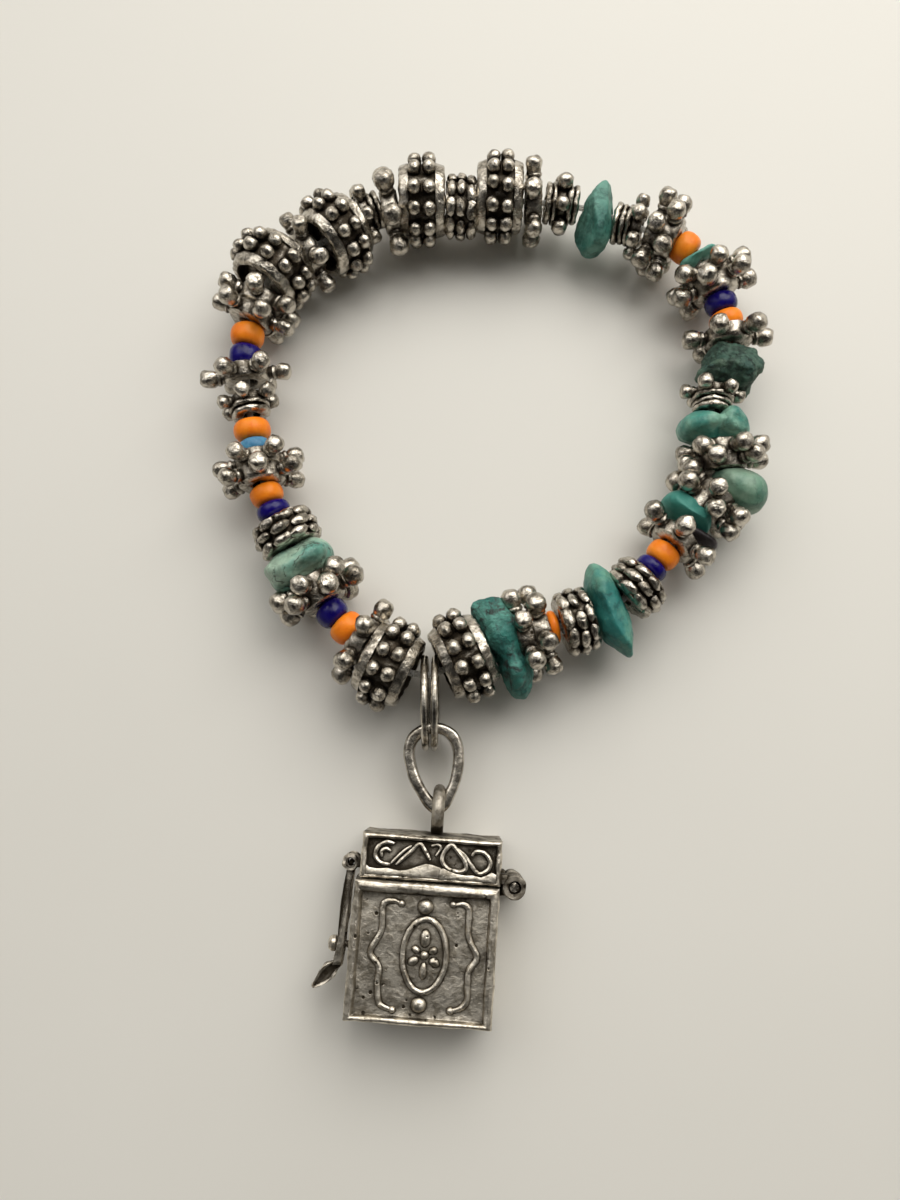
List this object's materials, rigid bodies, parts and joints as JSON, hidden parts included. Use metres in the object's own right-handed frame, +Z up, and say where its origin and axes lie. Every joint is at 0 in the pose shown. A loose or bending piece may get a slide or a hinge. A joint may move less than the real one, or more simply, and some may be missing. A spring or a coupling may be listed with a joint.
{
  "type": "beaded stretch bracelet with a hinged locket charm",
  "caption": "Stretch bracelet of strung silver spacer, glass seed and turquoise beads, lying flat, with a small hinged box locket hanging from jump rings and a bail; the locket opens.",
  "frame": {"origin": "on the surface the bracelet lies on, under the middle of the whole piece's bounding box", "axes": "+Z up from the surface, +Y from the charm towards the far side of the loop, +X to the right with the locket's relief facing up and the bail pointing to +Y"},
  "size_m": [0.0746, 0.1114, 0.0124],
  "materials": {
    "antique_silver": "cast silver-plated pewter, polished on the high spots and darkened in the recesses",
    "wire_silver": "smooth silver wire, lightly tarnished",
    "locket_silver": "antiqued silver with darkened relief",
    "orange_glass": "opaque glossy pressed glass",
    "cobalt_glass": "deep glossy pressed glass, nearly opaque",
    "light_blue_glass": "opaque glossy pressed glass",
    "pale_turquoise": "waxed turquoise with cream patches",
    "teal_stone": "polished turquoise with dark veins",
    "dark_green_stone": "rough dark green stone",
    "dark_brown_stone": "smooth dark stone",
    "clear_elastic": "clear elastic bead cord"
  },
  "bodies": {
    "bracelet": {"elastic_cord": "clear_elastic", "drum_1": "antique_silver", "flower_1": "antique_silver", "seed_pair_1": "orange_glass", "flower_pair_1": "antique_silver", "pale_rondelle": "pale_turquoise", "grain_barrel_1": "antique_silver", "seed_pair_2": "cobalt_glass", "flower_pair_2": "antique_silver", "seed_pair_3": "light_blue_glass", "ringed_flower_1": "antique_silver", "flower_2": "antique_silver", "seed_pair_4": "orange_glass", "flower_pair_3": "antique_silver", "drum_2": "antique_silver", "flower_3": "antique_silver", "drum_3": "antique_silver", "ringed_flower_2": "antique_silver", "flower_4": "antique_silver", "drum_4": "antique_silver", "grain_barrel_2": "antique_silver", "drum_5": "antique_silver", "flower_5": "antique_silver", "ringed_flower_3": "antique_silver", "teal_chip": "teal_stone", "ringed_flower_4": "antique_silver", "flower_pair_4": "antique_silver", "orange_seed_1": "orange_glass", "thin_teal_disc": "teal_stone", "flower_pair_5": "antique_silver", "seed_pair_5": "cobalt_glass", "flower_6": "antique_silver", "green_nugget": "dark_green_stone", "ringed_flower_5": "antique_silver", "pale_nugget": "pale_turquoise", "flower_pair_6": "antique_silver", "pale_pebble": "pale_turquoise", "flower_pair_7": "antique_silver", "oblique_disc": "teal_stone", "brown_nugget": "dark_brown_stone", "flower_7": "antique_silver", "seed_pair_6": "orange_glass", "grain_barrel_3": "antique_silver", "pointed_chip": "teal_stone", "grain_barrel_4": "antique_silver", "orange_seed_2": "orange_glass", "flower_pair_8": "antique_silver", "veined_chip": "teal_stone", "drum_6": "antique_silver", "jump_ring_left": "wire_silver", "jump_ring_right": "wire_silver", "bail": "wire_silver", "locket_lid": "locket_silver", "hinge_pin": "wire_silver"},
    "case": {"locket_case": "locket_silver"},
    "hasp": {"latch": "locket_silver"}
  },
  "joints": [
    {"name": "case_hinge", "type": "hinge", "parent": "bracelet", "child": "case", "pos_m": [0.00253, -0.03993, 0.0045], "axis": [0, 0, 1], "range_deg": [0, 100]},
    {"name": "hasp_hinge", "type": "hinge", "parent": "bracelet", "child": "hasp", "pos_m": [-0.01683, -0.03722, 0.0045], "axis": [0, 0, 1], "range_deg": [-150, 0]}
  ],
  "couplings": [
    {"joint": "hasp_hinge", "follows": "case_hinge", "ratio": -1.5}
  ]
}
